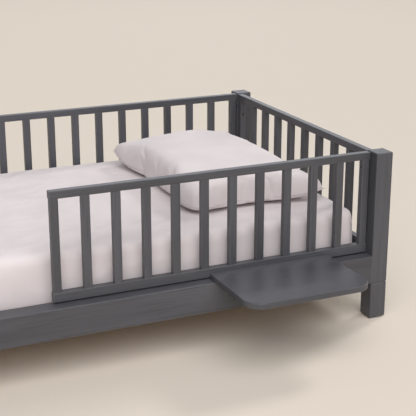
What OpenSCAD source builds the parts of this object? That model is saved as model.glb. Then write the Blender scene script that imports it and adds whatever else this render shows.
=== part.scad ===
// Toddler bed: a painted wooden frame with slatted guards on all four sides, the front
// one covering half of the length, a small shelf on the front rail, a slatted base, a
// mattress in a fitted sheet and a pillow in its case. Millimetres throughout.
// X runs along the bed with the head at +X, Y runs across it with the front at -Y, and
// Z is up. The origin is on the floor in the middle of the outline, shelf included.

/* [Overall] */
// Clear length between the posts
inner_len = 1612; // [1300:1:2050]
// Clear width between the posts
inner_wid = 813; // [640:1:1000]
// Height of the posts above the floor
total_h = 480; // [400:1:640]

/* [Posts and legs] */
// Width of the square posts, legs and bed rails
post_w = 50; // [46:1:70]
// Height of the separate leg block under each post
leg_h = 104; // [60:1:200]
// Radius of the eased edges on posts, legs and bed rails
edge_r = 2.5; // [1:0.5:5]
// Diameter of the glide under each leg
glide_d = 36; // [24:1:42]
// Thickness of the glide under each leg
glide_t = 3; // [2:0.5:8]
// Diameter of the stud that joins a leg to its post
stud_d = 8; // [6:1:10]
// Depth of the stud in the leg
stud_low = 42; // [25:1:50]
// Depth of the stud and its threaded sleeve in the post
stud_up = 19; // [12:1:22]

/* [Bed rails and base] */
// Height of the side and end rails
rail_h = 81; // [66:1:120]
// Diameter of the bolts that hold the side rails
bolt_d = 8; // [6:1:8]
// Distance from a rail's end to the cross nut that takes the bolt
nut_in = 30; // [22:1:45]
// Diameter of the cross nut
nut_d = 14; // [12:1:16]
// Length of the cross nut
nut_len = 24; // [16:1:30]
// Diameter of the dowels between end rails and posts
dowel_d = 10; // [6:1:10]
// Width and height of the ledger strips that carry the slats
ledger_w = 25; // [20:1:30]
// Depth of the mattress base below the top of the rails
base_drop = 26; // [16:1:30]
// Number of base slats
base_n = 12; // [8:1:16]
// Width of a base slat
base_w = 70; // [50:1:75]
// Thickness of a base slat
base_t = 12; // [8:1:14]

/* [Guards] */
// Thickness of the guard rails
guard_t = 20; // [18:1:26]
// Height of a guard's top rail
top_h = 20; // [18:1:30]
// Height of a guard's bottom rail
low_h = 25; // [22:1:35]
// Height of the post tops above the guard rails
post_rise = 2.5; // [1:0.5:12]
// Gap between a guard and the bed rail below it
guard_gap = 4; // [2:0.5:10]
// Gap between a guard rail's end and the post
end_gap = 3; // [2:0.5:8]
// Width of an upright along its guard
slat_w = 21; // [18:1:30]
// Thickness of an upright
slat_t = 18; // [16:1:18]
// Radius of the eased edges on guards and shelf
slat_r = 2; // [0.5:0.5:3]
// Number of uprights in the back guard
back_n = 21; // [20:1:22]
// Number of uprights in the front guard
front_n = 12; // [11:1:14]
// Number of uprights in the head and foot guards
short_n = 10; // [9:1:11]

/* [Shelf] */
// Length of the shelf along the bed
shelf_len = 350; // [250:1:450]
// Reach of the shelf in front of the bed
shelf_out = 210; // [150:1:260]
// Thickness of the shelf board
shelf_t = 16; // [14:1:22]
// Radius of the shelf's front corners
shelf_r = 46; // [20:1:90]
// Distance from the head post to the shelf
shelf_in = 127; // [60:1:200]
// Reach of the brackets under the shelf
bracket_out = 95; // [60:1:120]
// Height of the brackets on the rail
bracket_h = 56; // [48:1:62]

/* [Bedding] */
// Free play between the mattress and the frame, both sides together
mattress_play = 18; // [10:1:40]
// Thickness of the mattress
mattress_t = 148; // [100:1:150]
// Radius of the mattress corners seen from above
mattress_r = 24; // [12:1:80]
// Thickness of the sheet and pillow case fabric
fabric_t = 1.2; // [0.8:0.1:2]
// Width of the sheet turned under the mattress
hem_w = 60; // [30:1:100]
// Size of the pillow along the bed
pillow_x = 388; // [300:1:420]
// Size of the pillow across the bed
pillow_y = 588; // [400:1:600]
// Thickness of the pillow in the middle
pillow_t = 104; // [70:1:120]
// Distance from the head guard to the pillow
pillow_in = 86; // [40:1:150]
// Distance of the pillow's middle behind the middle of the mattress
pillow_back = 12; // [-60:1:60]

/* [Hidden] */
$fn = 40;
paint = [0.30, 0.30, 0.32];
raw_wood = [0.80, 0.66, 0.46];
steel = [0.72, 0.72, 0.74];
nylon = [0.16, 0.16, 0.17];
linen = [0.90, 0.87, 0.86];
foam = [0.93, 0.92, 0.88];

// clearances
fit = 0.15;            // radial gap round a glued, pressed or screwed piece
loose = 0.5;           // radial gap round a bolt that passes through
rest_gap = 0.3;        // gap under a piece that lifts off
tip_gap = 1;           // gap past the end of a piece in a blind hole

// heights
z_post = glide_t + leg_h;
z_rail = z_post + rail_h;
z_guard = z_rail + guard_gap;
z_low = z_guard + low_h;
z_cap = total_h - post_rise;
z_high = z_cap - top_h;
z_base = z_rail - base_drop;
z_bed = z_base + rest_gap;
z_core = z_bed + fabric_t + fit;
z_sheet = z_core + mattress_t + fit + fabric_t;
joint_step = rail_h/5; // from a dowel up to the next bolt
dowel_zs = [z_post + joint_step, z_post + 3*joint_step];
bolt_zs = [z_post + 2*joint_step, z_post + 4*joint_step];
screw_drop = 22;       // from the top rail down to the long guards' end screws
screw_step = 24;       // and on down to the short guards' end screws
long_screw_z = z_high - screw_drop;
short_screw_z = long_screw_z - screw_step;

// plan
mid_y = shelf_out/2;
post_x = (inner_len + post_w)/2;
post_y = (inner_wid + post_w)/2;
front_y = mid_y - inner_wid/2 - post_w;
guard_x = (inner_len + guard_t)/2;
guard_y = (inner_wid + guard_t)/2;

// guards
rail_over = 1;         // how far a guard rail runs past its end upright
back_len = inner_len - 2*end_gap;
short_len = inner_wid - 2*end_gap;
long_pitch = (back_len - 2*rail_over - slat_w)/(back_n - 1);
short_pitch = (short_len - 2*rail_over - slat_w)/(short_n - 1);
front_len = (front_n - 1)*long_pitch + slat_w + 2*rail_over;
front_x = inner_len/2 - end_gap - front_len/2;
tenon_d = 10;
tenon_len = 11;
back_gaps = [1, 7, 12, 18];
front_gaps = [1, 5, 9];
short_gaps = [1, 7];

// fasteners
sleeve_d = 12;         // threaded sleeve in the foot of a post
head_d = 16;           // side rail bolt head
head_t = 5;
head_sink = 1;         // how far each head lies below the surface
bolt_over = 3;         // side rail bolt's reach past its cross nut
bolt_in = nut_in + nut_d/2 + bolt_over;
hex_bolt = 5;          // hexagon socket, across the flats
hex_pin = 4;
socket_t = 3;          // depth of the hexagon sockets
dowel_post = 15;
dowel_rail = 24;
pin_d = 6;             // guard bolt
pin_up = 17;           // guard bolt's reach into the guard
pin_head_d = 12;
pin_head_t = 5;
pin_sleeve_d = 9.5;
washer_d = 15;
spacer_d = 12;
screw_d = 5;
screw_head_d = 9;
screw_head_t = 3;
screw_in = 20;         // end screw's reach into a post
ledger_bite = 22;      // ledger screw's reach into the side rail
small_d = 4;
small_head_d = 7.5;
small_head_t = 2.5;
base_bite = 18;        // base slat screw's reach into the ledger
cross_w = 1.2;         // cross recess in a screw's head
cross_l = 4.4;
cross_t = 1.6;

// base
ledger_end = 60;       // from a post to the ledger's end, past the cross nuts
ledger_len = inner_len - 2*ledger_end;
ledger_y = inner_wid/2 - ledger_w/2;
base_play = 3;
base_end = 42;         // from a ledger's end to the middle of the end slat
base_pitch = (ledger_len - 2*base_end)/(base_n - 1);
z_ledger = z_base - base_t - ledger_w;
ledger_n = 6;          // screws in each ledger, midway between slats
ledger_gaps = [for (i = [0:ledger_n - 1]) round(i*(base_n - 2)/(ledger_n - 1))];

// shelf
shelf_x = inner_len/2 - shelf_in - shelf_len/2;
shelf_gap = 0.5;
shelf_back = front_y + post_w - guard_t - shelf_gap;
bracket_in = 70;       // from the shelf's end to the middle of a bracket
bracket_x = shelf_len/2 - bracket_in;
bracket_w = 28;
bracket_t = 3;
bracket_side = 7;      // screws to either side of a bracket's middle line
rail_screw_zs = [-14, -36];
board_screw_ys = [-33, -71];
board_skin = 5;        // wood left above a screw in the shelf board
button_t = 1.8;        // height of the button heads under the shelf

// bedding
core_x = inner_len - mattress_play - 2*(fabric_t + fit);
core_y = inner_wid - mattress_play - 2*(fabric_t + fit);
case_grow = fabric_t + fit;
pillow_cx = inner_len/2 - pillow_in - pillow_x/2;
pillow_cy = mid_y + pillow_back;
pillow_z = z_sheet + rest_gap + pillow_t/2;
tip_r = 9;             // round of the pillow's tips
tip_drop = 22;         // tips below the middle of the pillow
shoulder_in = 92;      // from the pillow's edge to the middle of its shoulders
tip_facets = 16;
shoulder_facets = 28;

// ---- shapes ----

// Flat outline with eased corners, centred
module rounded(w, d, r) {
  square([w - 2*r, d], center = true);
  square([w, d - 2*r], center = true);
  for (sx = [-1, 1], sy = [-1, 1])
    translate([sx*(w/2 - r), sy*(d/2 - r)])
      circle(r = r);
}

// Standing bar on the plane z = 0
module bar_z(w, d, h, r) {
  linear_extrude(height = h)
    rounded(w, d, r);
}

// Bar along X, lying on the plane z = 0
module bar_x(l, d, h, r) {
  translate([0, 0, h/2])
    rotate([90, 0, 90])
      linear_extrude(height = l, center = true)
        rounded(d, h, r);
}

// Bar along Y, lying on the plane z = 0
module bar_y(l, w, h, r) {
  translate([0, 0, h/2])
    rotate([90, 0, 0])
      linear_extrude(height = l, center = true)
        rounded(w, h, r);
}

// Round rod along X from x0 to x1
module rod_x(d, x0, x1) {
  translate([min(x0, x1), 0, 0])
    rotate([0, 90, 0])
      cylinder(d = d, h = abs(x1 - x0));
}

// Round rod along Y from y0 to y1
module rod_y(d, y0, y1) {
  translate([0, min(y0, y1), 0])
    rotate([-90, 0, 0])
      cylinder(d = d, h = abs(y1 - y0));
}

// Round rod along Z from z0 to z1
module rod_z(d, z0, z1) {
  translate([0, 0, min(z0, z1)])
    cylinder(d = d, h = abs(z1 - z0));
}

// ---- places ----

// At a corner post's axis, turned so that +X and +Y point away from the bed
module at_corner(sx, sy) {
  translate([sx*post_x, mid_y + sy*post_y, 0])
    mirror([sx < 0 ? 1 : 0, 0, 0])
      mirror([0, sy < 0 ? 1 : 0, 0])
        children();
}

module at_corners() {
  for (sx = [-1, 1], sy = [-1, 1])
    at_corner(sx, sy)
      children();
}

module at_front() {
  translate([front_x, mid_y - guard_y, 0])
    children();
}

module at_back() {
  translate([0, mid_y + guard_y, 0])
    children();
}

// At the head guard (s = 1) or the foot guard (s = -1), with X along the guard
module at_short(s) {
  translate([s*guard_x, mid_y, 0])
    rotate([0, 0, 90])
      children();
}

// Midway between an upright and the next one, for each index in gaps
module at_gaps(n, pitch, gaps) {
  for (i = gaps)
    translate([(i + 0.5 - (n - 1)/2)*pitch, 0, 0])
      children();
}

module at_guard_bolts() {
  at_front()
    at_gaps(front_n, long_pitch, front_gaps)
      children();
  at_back()
    at_gaps(back_n, long_pitch, back_gaps)
      children();
  for (s = [-1, 1])
    at_short(s)
      at_gaps(short_n, short_pitch, short_gaps)
        children();
}

// At the outer face of a guard's end upright, with +X pointing at the post
module at_end(len, s, z) {
  translate([s*(len/2 - rail_over), 0, z])
    rotate([0, 0, s > 0 ? 0 : 180])
      children();
}

module at_guard_ends() {
  at_front()
    at_end(front_len, 1, long_screw_z)
      children();
  for (s = [-1, 1])
    at_back()
      at_end(back_len, s, long_screw_z)
        children();
  for (e = [-1, 1], s = [-1, 1])
    at_short(e)
      at_end(short_len, s, short_screw_z)
        children();
}

// On the inner face of each ledger, with +Y pointing at the side rail
module at_ledger_screws(sides) {
  at_gaps(base_n, base_pitch, ledger_gaps)
    for (s = sides)
      translate([0, mid_y + s*(inner_wid/2 - ledger_w), z_ledger + ledger_w/2])
        mirror([0, s < 0 ? 1 : 0, 0])
          children();
}

// On top of each base slat over each ledger
module at_base_screws() {
  for (i = [0:base_n - 1], s = [-1, 1])
    translate([(i - (base_n - 1)/2)*base_pitch, mid_y + s*ledger_y, z_base])
      children();
}

// On the front face of the front rail, under the shelf, at each bracket
module at_brackets() {
  for (s = [-1, 1])
    translate([shelf_x + s*bracket_x, front_y, z_rail])
      children();
}

// ---- holes ----

module guard_bolt_hole() {
  rod_z(pin_d + 2*loose, z_post - tip_gap, z_rail + tip_gap);
  rod_z(pin_head_d + 2*loose, z_post - tip_gap, z_post + head_sink + pin_head_t);
}

module guard_sleeve_hole() {
  rod_z(pin_sleeve_d + 2*fit, z_guard - tip_gap, z_guard + pin_up + tip_gap);
}

module end_screw_hole() {
  rod_x(screw_d + 2*fit, -slat_w - tip_gap, end_gap + rail_over + screw_in + tip_gap);
  rod_x(screw_head_d + 2*fit, -slat_w - tip_gap, head_sink + screw_head_t - slat_w);
}

module ledger_screw_hole() {
  rod_y(screw_d + 2*fit, -tip_gap, ledger_w + ledger_bite + tip_gap);
  rod_y(screw_head_d + 2*fit, -tip_gap, head_sink + screw_head_t);
}

module base_screw_hole() {
  rod_z(small_d + 2*fit, tip_gap, -base_t - base_bite - tip_gap);
  rod_z(small_head_d + 2*fit, tip_gap, -head_sink - small_head_t);
}

// On the outer face of each leg of a bracket, with -Z pointing into the wood
module at_rail_screws() {
  for (i = [0, 1])
    translate([(2*i - 1)*bracket_side, -bracket_t, rail_screw_zs[i]])
      rotate([90, 0, 0])
        children();
}

module at_board_screws() {
  for (i = [0, 1])
    translate([(2*i - 1)*bracket_side, board_screw_ys[i], -bracket_t])
      rotate([180, 0, 0])
        children();
}

// Holes of one bracket: two into the rail, two up into the board
module bracket_holes() {
  at_rail_screws()
    rod_z(small_d + 2*fit, -screw_in - tip_gap, tip_gap);
  at_board_screws()
    rod_z(small_d + 2*fit, board_skin - shelf_t - bracket_t - tip_gap, tip_gap);
}

// ---- fasteners ----

// Screw pointing down from the plane z = 0, its head below that plane by its height
module cross_screw(d, len, head_w, head_h) {
  difference() {
    union() {
      rod_z(d, -len, 0);
      rod_z(head_w, -head_h, 0);
    }
    for (a = [0, 90])
      rotate([0, 0, a])
        cube([cross_w, cross_l, 2*cross_t], center = true);
  }
}

// Bolt pointing down from the plane z = 0, with a hexagon socket
module socket_bolt(d, len, head_w, head_h, across) {
  difference() {
    union() {
      rod_z(d, -len, 0);
      rod_z(head_w, -head_h, 0);
    }
    translate([0, 0, -socket_t])
      cylinder(d = across/cos(30), h = socket_t + tip_gap, $fn = 6);
  }
}

// ---- parts ----

module post(sx, sy) {
  difference() {
    at_corner(sx, sy)
      translate([0, 0, z_post])
        bar_z(post_w, post_w, total_h - z_post, edge_r);
    at_corner(sx, sy) {
      rod_z(sleeve_d + 2*fit, z_post - tip_gap, z_post + stud_up + tip_gap);
      for (z = bolt_zs)
        translate([0, 0, z]) {
          rod_x(bolt_d + 2*loose, -post_w/2 - tip_gap, post_w/2 + tip_gap);
          rod_x(head_d + 2*loose, post_w/2 - head_sink - head_t, post_w/2 + tip_gap);
        }
      for (z = dowel_zs)
        translate([0, 0, z])
          rod_y(dowel_d + 2*fit, -post_w/2 - tip_gap, dowel_post + tip_gap - post_w/2);
    }
    at_guard_ends()
      end_screw_hole();
  }
}

module leg(sx, sy) {
  at_corner(sx, sy)
    difference() {
      translate([0, 0, glide_t])
        bar_z(post_w, post_w, leg_h, edge_r);
      rod_z(stud_d + 2*fit, z_post - stud_low - tip_gap, z_post + tip_gap);
    }
}

module side_rail(sy) {
  difference() {
    translate([0, mid_y + sy*post_y, z_post])
      bar_x(inner_len, post_w, rail_h, edge_r);
    for (sx = [-1, 1], z = bolt_zs)
      at_corner(sx, sy)
        translate([-post_w/2, 0, z]) {
          rod_x(bolt_d + 2*loose, tip_gap, -bolt_in - tip_gap);
          translate([-nut_in, 0, 0])
            rod_y(nut_d + 2*fit, -post_w/2 - tip_gap, nut_len/2 + tip_gap);
        }
    at_guard_bolts()
      guard_bolt_hole();
    at_ledger_screws([sy])
      ledger_screw_hole();
    at_brackets()
      bracket_holes();
  }
}

module end_rail(sx) {
  difference() {
    translate([sx*post_x, mid_y, z_post])
      bar_y(inner_wid, post_w, rail_h, edge_r);
    for (sy = [-1, 1], z = dowel_zs)
      at_corner(sx, sy)
        translate([0, -post_w/2, z])
          rod_y(dowel_d + 2*fit, tip_gap, -dowel_rail - tip_gap);
    at_guard_bolts()
      guard_bolt_hole();
  }
}

module ledger(sy) {
  difference() {
    translate([0, mid_y + sy*ledger_y, z_ledger + ledger_w/2])
      cube([ledger_len, ledger_w, ledger_w], center = true);
    at_ledger_screws([sy])
      ledger_screw_hole();
    at_base_screws()
      base_screw_hole();
  }
}

// Top rail of a guard, with a blind hole for each upright
module cap_rail(n, pitch, len) {
  difference() {
    translate([0, 0, z_high])
      bar_x(len, guard_t, top_h, slat_r);
    for (i = [0:n - 1])
      translate([(i - (n - 1)/2)*pitch, 0, 0])
        rod_z(tenon_d + 2*fit, z_high - tip_gap, z_high + tenon_len + tip_gap);
  }
}

// Bottom rail of a guard, with blind holes for uprights and threaded sleeves
module foot_rail(n, pitch, len, gaps) {
  difference() {
    translate([0, 0, z_guard])
      bar_x(len, guard_t, low_h, slat_r);
    for (i = [0:n - 1])
      translate([(i - (n - 1)/2)*pitch, 0, 0])
        rod_z(tenon_d + 2*fit, z_low - tenon_len - tip_gap, z_low + tip_gap);
    at_gaps(n, pitch, gaps)
      guard_sleeve_hole();
  }
}

// Uprights of a guard with round tenons, the ends in the list ends bored for a screw
module uprights(n, pitch, len, ends, screw_z) {
  difference() {
    for (i = [0:n - 1])
      translate([(i - (n - 1)/2)*pitch, 0, 0]) {
        translate([0, 0, z_low])
          bar_z(slat_w, slat_t, z_high - z_low, slat_r);
        rod_z(tenon_d, z_low - tenon_len, z_high + tenon_len);
      }
    for (s = ends)
      at_end(len, s, screw_z)
        end_screw_hole();
  }
}

// Ring on the plane z = 0
module ring(d_out, d_in, h) {
  difference() {
    cylinder(d = d_out, h = h);
    translate([0, 0, -tip_gap])
      cylinder(d = d_in, h = h + 2*tip_gap);
  }
}

// Shelf outline from above, with round front corners
module shelf_outline() {
  y0 = front_y - shelf_out;
  translate([-shelf_len/2, y0 + shelf_r])
    square([shelf_len, shelf_back - y0 - shelf_r]);
  translate([-shelf_len/2 + shelf_r, y0])
    square([shelf_len - 2*shelf_r, shelf_r + tip_gap]);
  for (s = [-1, 1])
    translate([s*(shelf_len/2 - shelf_r), y0 + shelf_r])
      circle(r = shelf_r);
}

// Mattress block grown by g on every side
module block(g) {
  translate([0, mid_y, z_core - g])
    bar_z(core_x + 2*g, core_y + 2*g, mattress_t + 2*g, mattress_r + g);
}

// Pillow body grown by g on every side: four low tips and full shoulders
module cushion(g) {
  shoulder_r = pillow_t/2 - case_grow;
  tip_in = case_grow + tip_r;
  translate([pillow_cx, pillow_cy, pillow_z])
    hull()
      for (sx = [-1, 1], sy = [-1, 1]) {
        translate([sx*(pillow_x/2 - tip_in), sy*(pillow_y/2 - tip_in), -tip_drop])
          sphere(r = tip_r + g, $fn = tip_facets);
        translate([sx*(pillow_x/2 - shoulder_in), sy*(pillow_y/2 - shoulder_in), 0])
          sphere(r = shoulder_r + g, $fn = shoulder_facets);
      }
}

module post_front_head() {
  color(paint)
    post(1, -1);
}

module post_front_foot() {
  color(paint)
    post(-1, -1);
}

module post_back_head() {
  color(paint)
    post(1, 1);
}

module post_back_foot() {
  color(paint)
    post(-1, 1);
}

module leg_front_head() {
  color(paint)
    leg(1, -1);
}

module leg_front_foot() {
  color(paint)
    leg(-1, -1);
}

module leg_back_head() {
  color(paint)
    leg(1, 1);
}

module leg_back_foot() {
  color(paint)
    leg(-1, 1);
}

// Stud in each leg, turned into the sleeve of the post above
module leg_studs() {
  color(steel)
    at_corners()
      rod_z(stud_d, z_post - stud_low, z_post + stud_up);
}

module leg_sleeves() {
  color(steel)
    at_corners()
      translate([0, 0, z_post])
        ring(sleeve_d, stud_d + 2*fit, stud_up);
}

module glides() {
  color(nylon)
    at_corners()
      cylinder(d = glide_d, h = glide_t);
}

module side_rail_front() {
  color(paint)
    side_rail(-1);
}

module side_rail_back() {
  color(paint)
    side_rail(1);
}

module end_rail_head() {
  color(paint)
    end_rail(1);
}

module end_rail_foot() {
  color(paint)
    end_rail(-1);
}

// Headed bolts through the posts into the side rails
module side_rail_bolts() {
  color(steel)
    at_corners()
      for (z = bolt_zs)
        translate([post_w/2 - head_sink, 0, z])
          rotate([0, 90, 0])
            socket_bolt(bolt_d, post_w - head_sink + bolt_in, head_d, head_t, hex_bolt);
}

// Cross nuts in the side rails, bored for the bolts
module cross_nuts() {
  color(steel)
    at_corners()
      for (z = bolt_zs)
        translate([-post_w/2 - nut_in, 0, z])
          difference() {
            rod_y(nut_d, -nut_len/2, nut_len/2);
            rod_x(bolt_d + 2*fit, -nut_d, nut_d);
          }
}

module end_rail_dowels() {
  color(raw_wood)
    at_corners()
      for (z = dowel_zs)
        translate([0, -post_w/2, z])
          rod_y(dowel_d, -dowel_rail, dowel_post);
}

module ledger_front() {
  color(raw_wood)
    ledger(-1);
}

module ledger_back() {
  color(raw_wood)
    ledger(1);
}

module ledger_screws() {
  color(steel)
    at_ledger_screws([-1, 1])
      translate([0, head_sink, 0])
        rotate([90, 0, 0])
          cross_screw(screw_d, ledger_w + ledger_bite - head_sink, screw_head_d, screw_head_t);
}

module base_slats() {
  color(raw_wood)
    difference() {
      for (i = [0:base_n - 1])
        translate([(i - (base_n - 1)/2)*base_pitch, mid_y, z_base - base_t/2])
          cube([base_w, inner_wid - base_play, base_t], center = true);
      at_base_screws()
        base_screw_hole();
    }
}

module base_screws() {
  color(steel)
    at_base_screws()
      translate([0, 0, -head_sink])
        cross_screw(small_d, base_t + base_bite - head_sink, small_head_d, small_head_t);
}

module front_guard_top() {
  color(paint)
    at_front()
      cap_rail(front_n, long_pitch, front_len);
}

module front_guard_bottom() {
  color(paint)
    at_front()
      foot_rail(front_n, long_pitch, front_len, front_gaps);
}

module front_guard_slats() {
  color(paint)
    at_front()
      uprights(front_n, long_pitch, front_len, [1], long_screw_z);
}

module back_guard_top() {
  color(paint)
    at_back()
      cap_rail(back_n, long_pitch, back_len);
}

module back_guard_bottom() {
  color(paint)
    at_back()
      foot_rail(back_n, long_pitch, back_len, back_gaps);
}

module back_guard_slats() {
  color(paint)
    at_back()
      uprights(back_n, long_pitch, back_len, [-1, 1], long_screw_z);
}

module head_guard_top() {
  color(paint)
    at_short(1)
      cap_rail(short_n, short_pitch, short_len);
}

module head_guard_bottom() {
  color(paint)
    at_short(1)
      foot_rail(short_n, short_pitch, short_len, short_gaps);
}

module head_guard_slats() {
  color(paint)
    at_short(1)
      uprights(short_n, short_pitch, short_len, [-1, 1], short_screw_z);
}

module foot_guard_top() {
  color(paint)
    at_short(-1)
      cap_rail(short_n, short_pitch, short_len);
}

module foot_guard_bottom() {
  color(paint)
    at_short(-1)
      foot_rail(short_n, short_pitch, short_len, short_gaps);
}

module foot_guard_slats() {
  color(paint)
    at_short(-1)
      uprights(short_n, short_pitch, short_len, [-1, 1], short_screw_z);
}

// Long bolts up through the bed rails into the guards
module guard_bolts() {
  color(steel)
    at_guard_bolts()
      translate([0, 0, z_post + head_sink])
        rotate([180, 0, 0])
          socket_bolt(pin_d, z_guard + pin_up - z_post - head_sink, pin_head_d, pin_head_t, hex_pin);
}

// Threaded sleeves in the guards' bottom rails
module guard_sleeves() {
  color(steel)
    at_guard_bolts()
      translate([0, 0, z_guard])
        ring(pin_sleeve_d, pin_d + 2*fit, pin_up);
}

// Washers that hold the guards clear of the bed rails
module guard_washers() {
  color(nylon)
    at_guard_bolts()
      translate([0, 0, z_rail])
        ring(washer_d, pin_d + 2*fit, guard_gap);
}

module guard_end_screws() {
  color(steel)
    at_guard_ends()
      translate([head_sink - slat_w, 0, 0])
        rotate([0, -90, 0])
          cross_screw(screw_d, slat_w - head_sink + end_gap + rail_over + screw_in, screw_head_d,
            screw_head_t);
}

// Spacers between the end uprights and the posts
module guard_end_spacers() {
  color(nylon)
    at_guard_ends()
      rotate([0, 90, 0])
        ring(spacer_d, screw_d + 2*fit, end_gap + rail_over);
}

module shelf() {
  color(paint)
    difference() {
      translate([shelf_x, 0, z_rail])
        linear_extrude(height = shelf_t)
          shelf_outline();
      at_brackets()
        bracket_holes();
    }
}

// Angle brackets under the shelf, against the front rail
module shelf_brackets() {
  color(steel)
    difference() {
      at_brackets() {
        translate([-bracket_w/2, -bracket_t, -bracket_h])
          cube([bracket_w, bracket_t, bracket_h]);
        translate([-bracket_w/2, -bracket_out, -bracket_t])
          cube([bracket_w, bracket_out, bracket_t]);
      }
      at_brackets()
        bracket_holes();
    }
}

// Button-headed screws through the brackets
module shelf_screws() {
  color(steel)
    at_brackets() {
      at_rail_screws()
        translate([0, 0, button_t])
          cross_screw(small_d, button_t + screw_in, small_head_d, button_t);
      at_board_screws()
        translate([0, 0, button_t])
          cross_screw(small_d, button_t + bracket_t + shelf_t - board_skin, small_head_d, button_t);
    }
}

module mattress() {
  color(foam)
    block(0);
}

// Sheet over the top and sides, turned under the edge of the mattress
module fitted_sheet() {
  color(linen)
    difference() {
      block(fit + fabric_t);
      block(fit);
      translate([0, mid_y, z_bed - tip_gap])
        bar_z(core_x - 2*hem_w, core_y - 2*hem_w, mattress_t/2, mattress_r);
    }
}

module pillow() {
  color(foam)
    cushion(0);
}

// Closed case round the pillow
module pillow_case() {
  color(linen)
    difference() {
      cushion(fit + fabric_t);
      cushion(fit);
    }
}

post_front_head();
post_front_foot();
post_back_head();
post_back_foot();
leg_front_head();
leg_front_foot();
leg_back_head();
leg_back_foot();
leg_studs();
leg_sleeves();
glides();
side_rail_front();
side_rail_back();
end_rail_head();
end_rail_foot();
side_rail_bolts();
cross_nuts();
end_rail_dowels();
ledger_front();
ledger_back();
ledger_screws();
base_slats();
base_screws();
front_guard_top();
front_guard_bottom();
front_guard_slats();
back_guard_top();
back_guard_bottom();
back_guard_slats();
head_guard_top();
head_guard_bottom();
head_guard_slats();
foot_guard_top();
foot_guard_bottom();
foot_guard_slats();
guard_bolts();
guard_sleeves();
guard_washers();
guard_end_screws();
guard_end_spacers();
shelf();
shelf_brackets();
shelf_screws();
mattress();
fitted_sheet();
pillow();
pillow_case();
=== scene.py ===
"""Toddler bed: painted frame with slatted guards, slatted base, mattress and pillow."""
import math

import bmesh
import bpy
import numpy as np
from bpy.props import FloatProperty, FloatVectorProperty, IntProperty, PointerProperty
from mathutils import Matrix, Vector, noise
from mathutils.bvhtree import BVHTree


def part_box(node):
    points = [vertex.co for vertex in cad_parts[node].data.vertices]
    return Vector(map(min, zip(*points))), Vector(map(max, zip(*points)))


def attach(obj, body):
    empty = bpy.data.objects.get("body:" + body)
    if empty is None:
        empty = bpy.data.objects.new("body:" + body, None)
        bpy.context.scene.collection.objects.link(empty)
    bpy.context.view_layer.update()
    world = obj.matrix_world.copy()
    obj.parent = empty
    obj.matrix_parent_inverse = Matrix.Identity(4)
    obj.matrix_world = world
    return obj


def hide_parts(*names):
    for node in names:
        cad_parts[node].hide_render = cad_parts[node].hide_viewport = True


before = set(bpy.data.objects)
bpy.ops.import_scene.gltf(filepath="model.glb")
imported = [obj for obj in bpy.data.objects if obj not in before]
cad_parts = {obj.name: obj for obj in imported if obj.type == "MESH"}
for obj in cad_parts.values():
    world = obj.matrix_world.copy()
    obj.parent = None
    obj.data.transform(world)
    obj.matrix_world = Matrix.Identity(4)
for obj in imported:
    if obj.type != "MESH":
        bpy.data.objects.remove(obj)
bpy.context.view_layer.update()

bl_info = {
    "name": "Toddler bed",
    "version": (1, 0, 0),
    "blender": (4, 5, 0),
    "location": "3D View > Sidebar > Toddler bed",
    "description": "Finishes a toddler bed's frame and makes its mattress, sheet and pillow",
    "category": "Object",
}

MATTRESS_BODY = "mattress_in_sheet"
PILLOW_BODY = "pillow_in_case"

# Painted pieces by the direction that their grain runs in
PAINTED = {
    "x": (
        "side_rail_front", "side_rail_back", "front_guard_top", "front_guard_bottom",
        "back_guard_top", "back_guard_bottom", "shelf",
    ),
    "y": (
        "end_rail_head", "end_rail_foot", "head_guard_top", "head_guard_bottom",
        "foot_guard_top", "foot_guard_bottom",
    ),
    "z": (
        "post_front_head", "post_front_foot", "post_back_head", "post_back_foot",
        "leg_front_head", "leg_front_foot", "leg_back_head", "leg_back_foot",
        "front_guard_slats", "back_guard_slats", "head_guard_slats", "foot_guard_slats",
    ),
}
RAW_WOOD = {
    "x": ("ledger_front", "ledger_back"),
    "y": ("base_slats", "end_rail_dowels"),
}
STEEL = (
    "leg_studs", "leg_sleeves", "side_rail_bolts", "cross_nuts", "ledger_screws",
    "base_screws", "guard_bolts", "guard_sleeves",
)
BLACK_STEEL = ("guard_end_screws", "shelf_brackets", "shelf_screws")
NYLON = ("glides", "guard_washers", "guard_end_spacers")
AXES = "xyz"
GLOSS = "Specular IOR Level"
LAMP_WHITE = (1.0, 0.985, 0.975)

# Wood patterns: how tightly they are packed along the grain and across it
PAINT_GRAIN = (7, 260)
PAINT_BOARD = (1.3, 9)
PAINT_BRUSH = (18, 900)
RAW_WOBBLE = (2, 14)
RAW_RINGS = (1.2, 22)
RAW_FIBRE = (20, 1300)

SAME_PLACE = 1e-4               # two heights closer than this count as one
NOISE_SHIFT = (3.7, 1.9, 5.3)   # how far each seed moves a noise pattern


# ---- settings ----

def colour(name, description, default):
    """A colour setting, in linear light."""
    return FloatVectorProperty(
        name=name, description=description, subtype="COLOR", size=3,
        min=0.0, max=1.0, default=default,
    )


def length(name, description, default):
    """A length setting, in metres."""
    return FloatProperty(
        name=name, description=description, subtype="DISTANCE", unit="LENGTH",
        min=0.0, default=default,
    )


def share(name, description, default):
    """A setting from 0 to 1."""
    return FloatProperty(
        name=name, description=description, subtype="FACTOR", min=0.0, max=1.0, default=default,
    )


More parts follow.
